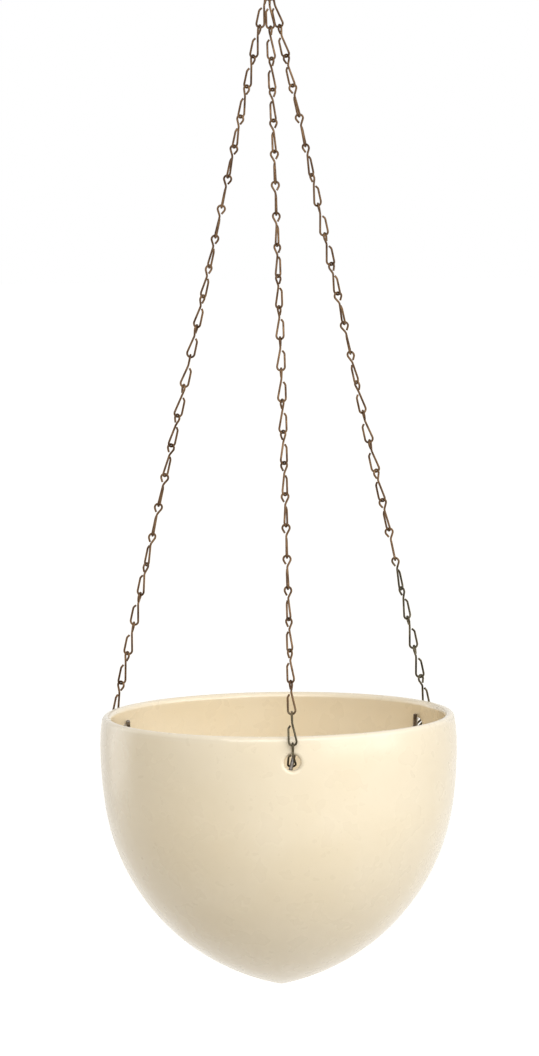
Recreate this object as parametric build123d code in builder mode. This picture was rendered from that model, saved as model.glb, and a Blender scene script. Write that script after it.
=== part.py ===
from build123d import *
import math
import os

# Ceramic hanging planter: a bullet-shaped glazed bowl on three long-link chains, gathered by a
# ring on an S-hook. All sizes are in millimetres. The origin is the hanging point, the inside top
# of the S-hook's upper bow. +Z is up, and the front hole of the bowl faces -Y.

# S-hook, bent from round wire in the YZ plane
hook_wire = 3.2
hook_bow_radius = 8.0
hook_bow_spacing = 36.0
hook_tail_angle = 40.0

# Gather ring, a closed wire ring in the XZ plane
ring_wire = 3.0
ring_radius = 13.0

# Chain links. Each link is one wire with a small eye on top and a large loop below the neck.
wire = 1.5
link_pitch = 22.3
links_per_chain = 24
links_per_node = 2
eye_width = 6.7
eye_length = 7.95
loop_width = 7.1
shoulder_drop = 3.8
shoulder_radius = 2.2
neck_radius = 4.0
play = 0.15

# How each chain is twisted, in degrees: the loop of its first link, the even turn from there to
# its last link, and how far the middle of the chain runs ahead of an even twist
first_loop_angle = 180.0
chain_names = ["front", "right", "left"]
chain_directions = [-90.0, 30.0, 150.0]
chain_turns = [-352.0, 580.0, -406.0]
chain_leads = [0.0, 0.0, 38.0]

# Bowl. Heights are measured down from the rim.
bowl_radius = 127.4
widest_depth = 21.5
rim_inset = 1.4
wall = 6.2
lip_thickness = 6.6
upper_arc_radius = 300.0
upper_arc_angle = 8.0
middle_arc_radius = 155.0
middle_arc_angle = 51.0
lower_arc_radius = 168.0
outer_tip_radius = 9.0
inner_tip_radius = 12.0
hole_diameter = 11.6
hole_depth = 18.4
hole_outer_rounding = 2.5
hole_inner_rounding = 1.5

# End links: where the neck stands outside the wall and above the hole, and how the eye leans out
neck_standoff = 1.5
neck_rise = 6.8
eye_lean = 13.0

# Toggle pins, upright behind the holes
pin_diameter = 2.8
pin_length = 21.0
pin_chamfer = 0.5
pin_leans = [-14.0, 6.0, -9.0]

# Places worked out from the sizes above
hook_top_z = hook_wire / 2 - hook_bow_radius
hook_low_z = hook_top_z - hook_bow_spacing
ring_top_z = hook_low_z - hook_bow_radius + (hook_wire + ring_wire) / 2 + play
ring_centre_z = ring_top_z - ring_radius
ring_low_z = ring_centre_z - ring_radius
loop_length = link_pitch + wire + play - eye_length
seat_drop = (ring_wire + wire) / 2 + play

lip_radius = lip_thickness / 2
rim_radius = bowl_radius - rim_inset
lip_inner_radius = rim_radius - lip_thickness


def wall_radius(depth, inset, lip_level_radius):
    """Return a wall face's radius at a depth below the rim. It is widest at the widest depth."""
    fraction = max(widest_depth - depth, 0) / (widest_depth - lip_radius)
    widest = bowl_radius - inset
    return widest - (widest - lip_level_radius) * fraction**2


pin_half = pin_length / 2
hole_outer_face = wall_radius(hole_depth, 0, rim_radius)
pin_top_radius = wall_radius(hole_depth - pin_half, wall, lip_inner_radius) - pin_diameter / 2 - play
pin_foot_radius = wall_radius(hole_depth + pin_half, wall, lip_inner_radius) - pin_diameter / 2 - play
pin_radius_out = (pin_top_radius + pin_foot_radius) / 2
pin_wall_lean = math.degrees(math.asin((pin_foot_radius - pin_top_radius) / pin_length))
loop_end_radius = pin_radius_out - (pin_diameter + wire) / 2 - play
neck_radius_out = hole_outer_face + neck_standoff
loop_lean = math.degrees(math.asin((neck_radius_out - loop_end_radius) / loop_length))
end_bend = loop_lean - eye_lean
pin_rise = neck_rise - (neck_radius_out - pin_radius_out) / math.tan(math.radians(loop_lean))

# The chain pulls on the last eye along its own line, so it meets that eye's round top at a point
# turned from the eye's axis by the two leans
chain_reach = links_per_chain * link_pitch - seat_drop
eye_radius = (eye_width - wire) / 2
loop_radius = (loop_width - wire) / 2
eye_height = eye_length - eye_radius
eye_centre_radius = neck_radius_out + eye_height * math.sin(math.radians(eye_lean))
last_eye_radius = eye_centre_radius * chain_reach / (chain_reach + eye_radius)
chain_drop = math.sqrt(chain_reach**2 - last_eye_radius**2)
last_eye_z = ring_low_z - chain_drop
eye_centre_z = last_eye_z - eye_radius * chain_drop / chain_reach
neck_z = eye_centre_z - eye_height * math.cos(math.radians(eye_lean))
hole_z = neck_z - neck_rise
rim_z = hole_z + hole_depth


def chain_line(direction):
    """Return the first eye's top, the last eye's top and the unit vector down one chain."""
    turn = math.radians(direction)
    end = Vector(last_eye_radius * math.cos(turn), last_eye_radius * math.sin(turn), last_eye_z)
    seat_angle = math.atan2(end.X, chain_drop)
    seat_x = ring_radius * math.sin(seat_angle)
    seat_z = ring_centre_z - ring_radius * math.cos(seat_angle)
    seat = Vector(seat_x, 0, seat_z)
    down = (end - seat).normalized()
    return seat + down * seat_drop * -1, end, down


def link_plane(top, down, angle):
    """Return the plane of a link: origin at its neck, Z up the chain, X across its large loop."""
    across = Vector(1, 0, 0)
    across = (across - down * across.dot(down)).normalized()
    across = across.rotate(Axis((0, 0, 0), tuple(down)), angle)
    return Plane(origin=top + down * eye_length, x_dir=across, z_dir=down * -1)


def tangent_point(centre_distance, radius):
    """Return where a line from the origin touches a circle that far up its axis, and its lean."""
    swing = math.asin(radius / centre_distance)
    reach = math.sqrt(centre_distance**2 - radius**2)
    return reach * math.sin(swing), reach * math.cos(swing), swing


def make_link(bend):
    """Return one link with its neck at the origin. The large loop turns inward by the bend."""
    eye_y, eye_z, eye_swing = tangent_point(eye_height, eye_radius)
    loop_x, loop_depth, loop_swing = tangent_point(loop_length - loop_radius, loop_radius)
    shoulder_swing = math.atan2(loop_radius, shoulder_drop)
    eye_end = (wire + play) / math.sin(2 * eye_swing)
    loop_end = (wire + play) / math.sin(loop_swing + shoulder_swing)
    turn = math.radians(bend)

    def loop_point(x, depth):
        """Return a point of the large loop, which hangs from the neck at the bend."""
        return (x, -depth * math.sin(turn), -depth * math.cos(turn))

    with BuildPart() as link:
        with BuildLine() as path:
            Line((0, eye_end * math.sin(eye_swing), eye_end * math.cos(eye_swing)), (0, eye_y, eye_z))
            ThreePointArc((0, eye_y, eye_z), (0, 0, eye_length), (0, -eye_y, eye_z))
            FilletPolyline(
                (0, -eye_y, eye_z),
                (0, 0, 0),
                loop_point(-loop_x, loop_depth),
                radius=neck_radius,
            )
            ThreePointArc(
                loop_point(-loop_x, loop_depth),
                loop_point(0, loop_length),
                loop_point(loop_radius, loop_length - loop_radius),
            )
            FilletPolyline(
                loop_point(loop_radius, loop_length - loop_radius),
                loop_point(loop_radius, shoulder_drop),
                loop_point(loop_end * math.sin(shoulder_swing), loop_end * math.cos(shoulder_swing)),
                radius=shoulder_radius,
            )
        with BuildSketch(Plane(origin=path.line @ 0, z_dir=path.line % 0)):
            Circle(wire / 2)
        sweep(path=path.line)
    return link.part


def radial_plane(direction, radius, height):
    """Return an upright plane on a chain's side of the bowl, with Y outward and Z up."""
    turn = math.radians(direction)
    outward = Vector(math.cos(turn), math.sin(turn), 0)
    return Plane(
        origin=outward * radius + Vector(0, 0, height),
        x_dir=outward.cross(Vector(0, 0, 1)),
        z_dir=(0, 0, 1),
    )


os.makedirs("parts", exist_ok=True)

# S-hook: two bows joined by a straight middle, both pulled in line with the hanging point
lean = math.degrees(math.asin(2 * hook_bow_radius / hook_bow_spacing))
with BuildPart() as s_hook:
    with BuildLine(Plane.YZ) as hook_line:
        upper = CenterArc((0, hook_top_z), hook_bow_radius, -hook_tail_angle, 180 + hook_tail_angle + lean)
        lower = CenterArc((0, hook_low_z), hook_bow_radius, lean, -(180 + hook_tail_angle + lean))
        Line(upper @ 1, lower @ 0)
    with BuildSketch(Plane(origin=hook_line.line @ 0, z_dir=hook_line.line % 0)):
        Circle(hook_wire / 2)
    sweep(path=hook_line.line)
s_hook.part.label = "s_hook"
export_step(s_hook.part, "parts/s_hook.step")

# Gather ring, hanging on the lower bow
with BuildPart() as gather_ring:
    with BuildSketch(Plane.XY.offset(ring_centre_z)):
        with Locations((ring_radius, 0)):
            Circle(ring_wire / 2)
    revolve(axis=Axis((0, 0, ring_centre_z), (0, 1, 0)))
gather_ring.part.label = "gather_ring"
export_step(gather_ring.part, "parts/gather_ring.step")

# Bowl: one outline revolved, with the inside parallel to the outside below the widest level
upper_end = upper_arc_angle
middle_end = upper_arc_angle + middle_arc_angle
lower_centre_x = (
    bowl_radius
    - upper_arc_radius
    + (upper_arc_radius - middle_arc_radius) * math.cos(math.radians(upper_end))
    + (middle_arc_radius - lower_arc_radius) * math.cos(math.radians(middle_end))
)


def bowl_side(inset, tip_radius):
    """Draw one face of the wall from the widest level to the bottom and return the last arc."""
    reach = lower_arc_radius - inset - tip_radius
    tip_start = math.degrees(math.acos(-lower_centre_x / reach))
    top = (bowl_radius - inset, -widest_depth)
    first = JernArc(top, (0, -1), upper_arc_radius - inset, -upper_arc_angle)
    second = JernArc(first @ 1, first % 1, middle_arc_radius - inset, -middle_arc_angle)
    third = JernArc(second @ 1, second % 1, lower_arc_radius - inset, middle_end - tip_start)
    return JernArc(third @ 1, third % 1, tip_radius, tip_start - 90)


def on_hole(edge):
    """Tell whether an edge is part of a hole's rim in the wall."""
    near = abs(edge.center().Z + hole_depth) < hole_diameter / 2
    return near and edge.length < math.pi * hole_diameter and edge.geom_type != GeomType.LINE


def outside_wall(edge):
    """Tell whether an edge lies on the outer side of the middle of the wall."""
    return math.hypot(edge.center().X, edge.center().Y) > hole_outer_face - wall / 2


def inside_wall(edge):
    """Tell whether an edge lies on the inner side of the middle of the wall."""
    return not outside_wall(edge)


with BuildPart() as bowl:
    with BuildSketch(Plane.XZ):
        with BuildLine():
            outer_tip = bowl_side(0, outer_tip_radius)
            inner_tip = bowl_side(wall, inner_tip_radius)
            Line(outer_tip @ 1, inner_tip @ 1)
            outer_lip = (rim_radius, -lip_radius)
            inner_lip = (lip_inner_radius, -lip_radius)
            TangentArc((bowl_radius, -widest_depth), outer_lip, tangent=(0, 1))
            TangentArc((bowl_radius - wall, -widest_depth), inner_lip, tangent=(0, 1))
            ThreePointArc(outer_lip, (rim_radius - lip_radius, 0), inner_lip)
        make_face()
    revolve(axis=Axis.Z)
    for direction in chain_directions:
        turn = math.radians(direction)
        outward = Vector(math.cos(turn), math.sin(turn), 0)
        hole_plane = Plane(origin=outward * rim_radius + Vector(0, 0, -hole_depth), z_dir=outward)
        with Locations(hole_plane):
            Cylinder(hole_diameter / 2, 4 * wall, mode=Mode.SUBTRACT)
    hole_edges = bowl.edges().filter_by(on_hole)
    fillet(hole_edges.filter_by(outside_wall), hole_outer_rounding)
    fillet(hole_edges.filter_by(inside_wall), hole_inner_rounding)
bowl.part = bowl.part.moved(Location((0, 0, rim_z)))
bowl.part.label = "bowl"
export_step(bowl.part, "parts/bowl.step")

# Chains: straight links in short lengths, each link turned a little further than the one above
straight_link = make_link(0)
for name, direction, turn_total, lead in zip(chain_names, chain_directions, chain_turns, chain_leads):
    first_top, last_top, down = chain_line(direction)
    step = (last_top - first_top).length / links_per_chain
    for first in range(0, links_per_chain, links_per_node):
        with BuildPart() as length:
            for index in range(first, first + links_per_node):
                share = index / (links_per_chain - 1)
                angle = first_loop_angle + turn_total * share + lead * math.sin(math.pi * share)
                place = link_plane(first_top + down * step * index, down, angle)
                add(straight_link.moved(place.location))
        number = first // links_per_node + 1
        length.part.label = f"{name}_chain_{number:02d}"
        export_step(length.part, f"parts/{length.part.label}.step")

# End links: the eye leans out from the wall and the loop goes in through the hole
end_link_shape = make_link(end_bend)
for name, direction in zip(chain_names, chain_directions):
    place = radial_plane(direction, neck_radius_out, neck_z)
    with BuildPart() as end_link:
        add(end_link_shape.moved(place.location * Location((0, 0, 0), (-eye_lean, 0, 0))))
    end_link.part.label = f"{name}_end_link"
    export_step(end_link.part, f"parts/{end_link.part.label}.step")

# Toggle pins: each stands against the inside of the wall, across its hole and through the loop
with BuildPart() as pin_shape:
    Cylinder(pin_diameter / 2, pin_length)
    chamfer(pin_shape.edges().filter_by(GeomType.CIRCLE), pin_chamfer)
for name, direction, pin_lean in zip(chain_names, chain_directions, pin_leans):
    place = radial_plane(direction, pin_radius_out, hole_z + pin_rise)
    with BuildPart() as pin:
        add(pin_shape.part.moved(place.location * Location((0, 0, 0), (pin_wall_lean, pin_lean, 0))))
    pin.part.label = f"{name}_toggle_pin"
    export_step(pin.part, f"parts/{pin.part.label}.step")

print(f"rim at {rim_z:.1f}, holes at {hole_z:.1f}, end links bent by {end_bend:.1f} degrees")
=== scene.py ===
import math

import bpy
from mathutils import Matrix, Vector


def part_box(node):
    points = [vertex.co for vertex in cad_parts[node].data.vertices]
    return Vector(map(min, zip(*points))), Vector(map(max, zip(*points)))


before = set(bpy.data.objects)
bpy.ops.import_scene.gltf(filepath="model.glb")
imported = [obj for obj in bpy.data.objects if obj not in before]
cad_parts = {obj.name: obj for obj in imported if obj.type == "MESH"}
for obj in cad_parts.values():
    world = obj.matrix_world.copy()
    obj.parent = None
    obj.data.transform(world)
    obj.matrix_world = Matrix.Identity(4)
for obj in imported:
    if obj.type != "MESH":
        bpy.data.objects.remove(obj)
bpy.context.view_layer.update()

# The photograph and the camera that took it, in pixels, metres and degrees. The camera stands a
# little to the left of the front, looks down on the bowl through a long lens and leans slightly.
IMAGE_WIDTH = 539
IMAGE_HEIGHT = 1056
RIM_CENTRE_X = 278.15
RIM_CENTRE_Y = 714.08
METRES_PER_PIXEL = 0.0007146
CAMERA_DISTANCE = 12.0
CAMERA_ELEVATION = 7.54
CAMERA_AZIMUTH = 4.46
CAMERA_ROLL = 0.69
SENSOR = 36.0
NEAREST_SEEN = 0.1
FARTHEST_SEEN = 60.0

# Where things are in the frame, in metres
RIM_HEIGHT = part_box("bowl")[1].z
TIP_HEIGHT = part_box("bowl")[0].z
BOWL_MIDDLE = Vector((0, 0, (RIM_HEIGHT + TIP_HEIGHT) / 2))
FLOOR_HEIGHT = TIP_HEIGHT - 0.45
FLOOR_RADIUS = 9.0
FLOOR_SIDES = 96

# The studio's even light, and the floor's own colour and the glow that shows it as white
AMBIENT_LEVEL = 0.36
AMBIENT_COLOUR = (1.0, 0.95, 0.86)
FLOOR_COLOUR = (0.60, 0.58, 0.54)
FLOOR_GLOW = 0.85

# The heights in metres where two of the chains turn from brown to grey olive. The left chain and
# the hanger are brown all the way, so theirs lies below everything.
FRONT_GREY_FROM = -0.556
RIGHT_GREY_FROM = -0.474
BELOW_EVERYTHING = -2.0

# A painted highlight makes the glaze paler towards the top of the lip, between these distances below the rim
LIP_HIGHLIGHT_FROM = 0.006
LIP_HIGHLIGHT_TO = 0.001


def make_camera():
    """Place the camera so that the render has the photograph's frame."""
    turn = math.radians(CAMERA_AZIMUTH)
    drop = math.radians(CAMERA_ELEVATION)
    roll = math.radians(CAMERA_ROLL)
    forward = Vector((math.sin(turn) * math.cos(drop), math.cos(turn) * math.cos(drop), -math.sin(drop)))
    level_right = Vector((math.cos(turn), -math.sin(turn), 0))
    level_up = level_right.cross(forward)
    right = level_right * math.cos(roll) - level_up * math.sin(roll)
    up = level_right * math.sin(roll) + level_up * math.cos(roll)
    rim = Vector((0, 0, RIM_HEIGHT))
    place = rim - forward * CAMERA_DISTANCE
    across = (IMAGE_WIDTH / 2 - RIM_CENTRE_X) * METRES_PER_PIXEL
    rise = (RIM_CENTRE_Y - IMAGE_HEIGHT / 2) * METRES_PER_PIXEL
    back = (place - rim - right * across - up * rise).normalized()
    side = (right - back * back.dot(right)).normalized()
    axes = Matrix((side, back.cross(side), back)).transposed()
    data = bpy.data.cameras.new("camera")
    data.sensor_fit = "VERTICAL"
    data.sensor_width = SENSOR
    data.sensor_height = SENSOR
    data.lens = SENSOR * CAMERA_DISTANCE / (IMAGE_HEIGHT * METRES_PER_PIXEL)
    data.clip_start = NEAREST_SEEN
    data.clip_end = FARTHEST_SEEN
    camera = bpy.data.objects.new("camera", data)
    camera.matrix_world = Matrix.Translation(place) @ axes.to_4x4()
    bpy.context.scene.collection.objects.link(camera)
    bpy.context.scene.camera = camera


def add_lamp(name, azimuth, elevation, distance, width, height, level, colour):
    """Add a soft box aimed at the bowl. Its level is how bright it makes white that faces it."""
    turn = math.radians(azimuth)
    rise = math.radians(elevation)
    direction = Vector((math.sin(turn) * math.cos(rise), -math.cos(turn) * math.cos(rise), math.sin(rise)))
    data = bpy.data.lights.new(name, "AREA")
    data.shape = "RECTANGLE"
    data.size = width
    data.size_y = height
    data.energy = level * math.pi**2 * distance**2
    data.color = colour
    lamp = bpy.data.objects.new(name, data)
    lamp.location = BOWL_MIDDLE + direction * distance
    lamp.rotation_euler = direction.to_track_quat("Z", "Y").to_euler()
    bpy.context.scene.collection.objects.link(lamp)


def seen_directly(nodes, links):
    """Return a socket that is 1 for rays that see a white background, and 0 for light on things."""
    path = nodes.new("ShaderNodeLightPath")
    first = nodes.new("ShaderNodeMath")
    first.operation = "MAXIMUM"
    second = nodes.new("ShaderNodeMath")
    second.operation = "MAXIMUM"
    links.new(path.outputs["Is Camera Ray"], first.inputs[0])
    links.new(path.outputs["Is Glossy Ray"], first.inputs[1])
    links.new(first.outputs[0], second.inputs[0])
    links.new(path.outputs["Is Transmission Ray"], second.inputs[1])
    return second.outputs[0]


def make_world():
    """Make a white studio that lights the object with an even, slightly warm level."""
    world = bpy.data.worlds.new("studio")
    world.use_nodes = True
    bpy.context.scene.world = world
    nodes = world.node_tree.nodes
    links = world.node_tree.links
    nodes.clear()
    light = nodes.new("ShaderNodeBackground")
    light.inputs["Color"].default_value = AMBIENT_COLOUR + (1.0,)
    light.inputs["Strength"].default_value = AMBIENT_LEVEL
    white = nodes.new("ShaderNodeBackground")
    white.inputs["Color"].default_value = (1.0, 1.0, 1.0, 1.0)
    mix = nodes.new("ShaderNodeMixShader")
    output = nodes.new("ShaderNodeOutputWorld")
    links.new(seen_directly(nodes, links), mix.inputs[0])
    links.new(light.outputs[0], mix.inputs[1])
    links.new(white.outputs[0], mix.inputs[2])
    links.new(mix.outputs[0], output.inputs["Surface"])


def make_floor():
    """Make a pale floor that looks white where it is lit and keeps the object's shadow."""
    turns = [2 * math.pi * k / FLOOR_SIDES for k in range(FLOOR_SIDES)]
    points = [(FLOOR_RADIUS * math.cos(turn), FLOOR_RADIUS * math.sin(turn), FLOOR_HEIGHT) for turn in turns]
    mesh = bpy.data.meshes.new("floor")
    mesh.from_pydata(points, [], [list(range(FLOOR_SIDES))])
    floor = bpy.data.objects.new("floor", mesh)
    bpy.context.scene.collection.objects.link(floor)
    material = bpy.data.materials.new("pale_floor")
    material.use_nodes = True
    nodes = material.node_tree.nodes
    links = material.node_tree.links
    nodes.clear()
    matt = nodes.new("ShaderNodeBsdfDiffuse")
    matt.inputs["Color"].default_value = FLOOR_COLOUR + (1.0,)
    glow = nodes.new("ShaderNodeEmission")
    glow.inputs["Strength"].default_value = FLOOR_GLOW
    both = nodes.new("ShaderNodeAddShader")
    mix = nodes.new("ShaderNodeMixShader")
    output = nodes.new("ShaderNodeOutputMaterial")
    links.new(matt.outputs[0], both.inputs[0])
    links.new(glow.outputs[0], both.inputs[1])
    links.new(seen_directly(nodes, links), mix.inputs[0])
    links.new(matt.outputs[0], mix.inputs[1])
    links.new(both.outputs[0], mix.inputs[2])
    links.new(mix.outputs[0], output.inputs["Surface"])
    mesh.materials.append(material)


class Nodes:
    """A material's node tree, with short ways to add the nodes that the finishes share."""

    def __init__(self, name):
        self.material = bpy.data.materials.new(name)
        self.material.use_nodes = True
        self.nodes = self.material.node_tree.nodes
        self.links = self.material.node_tree.links
        self.shader = self.nodes["Principled BSDF"]
        self.place = self.nodes.new("ShaderNodeTexCoord").outputs["Object"]

    def noise(self, scale, detail=2.0, roughness=0.5):
        """Add noise with that many waves a metre and return its value."""
        node = self.nodes.new("ShaderNodeTexNoise")
        node.inputs["Scale"].default_value = scale
        node.inputs["Detail"].default_value = detail
        node.inputs["Roughness"].default_value = roughness
        self.links.new(self.place, node.inputs["Vector"])
        return node.outputs["Fac"]

    def span(self, value, low, high, to_low=0.0, to_high=1.0):
        """Map a value's stretch from low to high onto another stretch, held at its ends."""
        node = self.nodes.new("ShaderNodeMapRange")
        node.inputs["From Min"].default_value = low
        node.inputs["From Max"].default_value = high
        node.inputs["To Min"].default_value = to_low
        node.inputs["To Max"].default_value = to_high
        self.links.new(value, node.inputs["Value"])
        return node.outputs["Result"]

    def mix(self, factor, first, second):
        """Mix two colours, each a socket or three numbers."""
        node = self.nodes.new("ShaderNodeMix")
        node.data_type = "RGBA"
        self.links.new(factor, node.inputs["Factor"])
        for socket, colour in ((node.inputs[6], first), (node.inputs[7], second)):
            if isinstance(colour, tuple):
                socket.default_value = colour + (1.0,)
            else:
                self.links.new(colour, socket)
        return node.outputs[2]

    def maths(self, operation, first, second):
        """Join two values, each a socket or a number."""
        node = self.nodes.new("ShaderNodeMath")
        node.operation = operation
        for socket, value in zip(node.inputs, (first, second)):
            if isinstance(value, float):
                socket.default_value = value
            else:
                self.links.new(value, socket)
        return node.outputs[0]

    def height(self):
        """Return the height in the frame, in metres."""
        node = self.nodes.new("ShaderNodeSeparateXYZ")
        self.links.new(self.place, node.inputs[0])
        return node.outputs["Z"]

    def bump(self, value, distance):
        """Roughen the surface by a value, to that depth in metres."""
        node = self.nodes.new("ShaderNodeBump")
        node.inputs["Distance"].default_value = distance
        node.inputs["Strength"].default_value = 1.0
        self.links.new(value, node.inputs["Height"])
        previous = self.shader.inputs["Normal"].links
        if previous:
            self.links.new(previous[0].from_socket, node.inputs["Normal"])
        self.links.new(node.outputs["Normal"], self.shader.inputs["Normal"])

    def set(self, name, value):
        """Give one of the shader's sockets a number or a link."""
        if isinstance(value, float):
            self.shader.inputs[name].default_value = value
        else:
            self.links.new(value, self.shader.inputs[name])


def make_glaze():
    """Ivory gloss glaze: faint clouds of tone, a painted highlight paler on the top of the lip, slightly
    uneven.
    """
    tree = Nodes("ivory_glaze")
    clouds = tree.span(tree.noise(14.0, 3.0), 0.35, 0.65)
    colour = tree.mix(clouds, (0.885, 0.765, 0.550), (0.915, 0.805, 0.605))
    specks = tree.span(tree.noise(900.0, 1.0), 0.70, 0.78)
    colour = tree.mix(tree.maths("MULTIPLY", specks, 0.25), colour, (0.62, 0.50, 0.34))
    # Painted highlight: the glaze colour is made paler towards the top of the lip, where the lip's rounding
    # catches the light
    painted_lip_highlight = tree.span(tree.height(), RIM_HEIGHT - LIP_HIGHLIGHT_FROM, RIM_HEIGHT - LIP_HIGHLIGHT_TO)
    colour = tree.mix(tree.maths("MULTIPLY", painted_lip_highlight, 0.35), colour, (0.95, 0.87, 0.73))
    tree.set("Base Color", colour)
    tree.set("Roughness", tree.span(tree.noise(60.0), 0.3, 0.7, 0.24, 0.34))
    tree.set("IOR", 1.5)
    tree.set("Coat Weight", 0.5)
    tree.set("Coat Roughness", 0.2)
    tree.bump(tree.noise(22.0, 2.0), 0.0006)
    tree.bump(tree.noise(260.0, 2.0), 0.00002)
    return tree.material


def make_chain_wire(name, grey_from):
    """Antique brown wire that has worn to a grey olive below a height."""
    tree = Nodes(name)
    patches = tree.span(tree.noise(110.0, 3.0, 0.6), 0.38, 0.62)
    brown = tree.mix(patches, (0.078, 0.040, 0.018), (0.175, 0.102, 0.050))
    olive = tree.mix(patches, (0.045, 0.036, 0.020), (0.140, 0.118, 0.072))
    wander = tree.maths("MULTIPLY", tree.noise(40.0), 0.03)
    level = tree.maths("ADD", tree.height(), wander)
    brown_share = tree.span(level, grey_from, grey_from + 0.012)
    tree.set("Base Color", tree.mix(brown_share, olive, brown))
    tree.set("Metallic", 0.85)
    tree.set("Roughness", tree.span(tree.noise(320.0, 3.0), 0.3, 0.7, 0.34, 0.56))
    tree.bump(tree.noise(1500.0, 3.0), 0.00004)
    return tree.material


def make_pin_steel():
    """Dull aged steel."""
    tree = Nodes("pin_steel")
    patches = tree.span(tree.noise(180.0, 3.0), 0.35, 0.65)
    tree.set("Base Color", tree.mix(patches, (0.115, 0.085, 0.058), (0.32, 0.30, 0.29)))
    tree.set("Metallic", 0.9)
    tree.set("Roughness", tree.span(tree.noise(400.0, 2.0), 0.3, 0.7, 0.30, 0.50))
    tree.bump(tree.noise(1200.0, 3.0), 0.00003)
    return tree.material


def dress(node, material):
    """Give a CAD node a finish in place of its plain one."""
    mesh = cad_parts[node].data
    mesh.materials.clear()
    mesh.materials.append(material)
    for polygon in mesh.polygons:
        polygon.use_smooth = True


def dress_everything():
    """Glaze the bowl and give the pins, the hanger and each chain their metals."""
    glaze = make_glaze()
    hanger_wire = make_chain_wire("hanger_wire", BELOW_EVERYTHING)
    wires = {
        "front": make_chain_wire("front_wire", FRONT_GREY_FROM),
        "right": make_chain_wire("right_wire", RIGHT_GREY_FROM),
        "left": make_chain_wire("left_wire", BELOW_EVERYTHING),
    }
    pin_steel = make_pin_steel()
    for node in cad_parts:
        chain = node.split("_")[0]
        if node == "bowl":
            dress(node, glaze)
        elif node.endswith("toggle_pin"):
            dress(node, pin_steel)
        elif chain in wires:
            dress(node, wires[chain])
        else:
            dress(node, hanger_wire)


make_camera()
make_world()
make_floor()
add_lamp(
    "key_box",
    azimuth=52,
    elevation=24,
    distance=2.4,
    width=2.6,
    height=2.0,
    level=0.60,
    colour=(0.97, 0.985, 1.0),
)
add_lamp(
    "front_box",
    azimuth=-8,
    elevation=34,
    distance=2.4,
    width=2.4,
    height=1.4,
    level=0.47,
    colour=(0.98, 0.985, 1.0),
)
add_lamp(
    "back_left_box",
    azimuth=-128,
    elevation=10,
    distance=2.4,
    width=1.2,
    height=1.8,
    level=0.12,
    colour=(1.0, 1.0, 1.0),
)
dress_everything()

bpy.context.scene.view_settings.view_transform = "Standard"
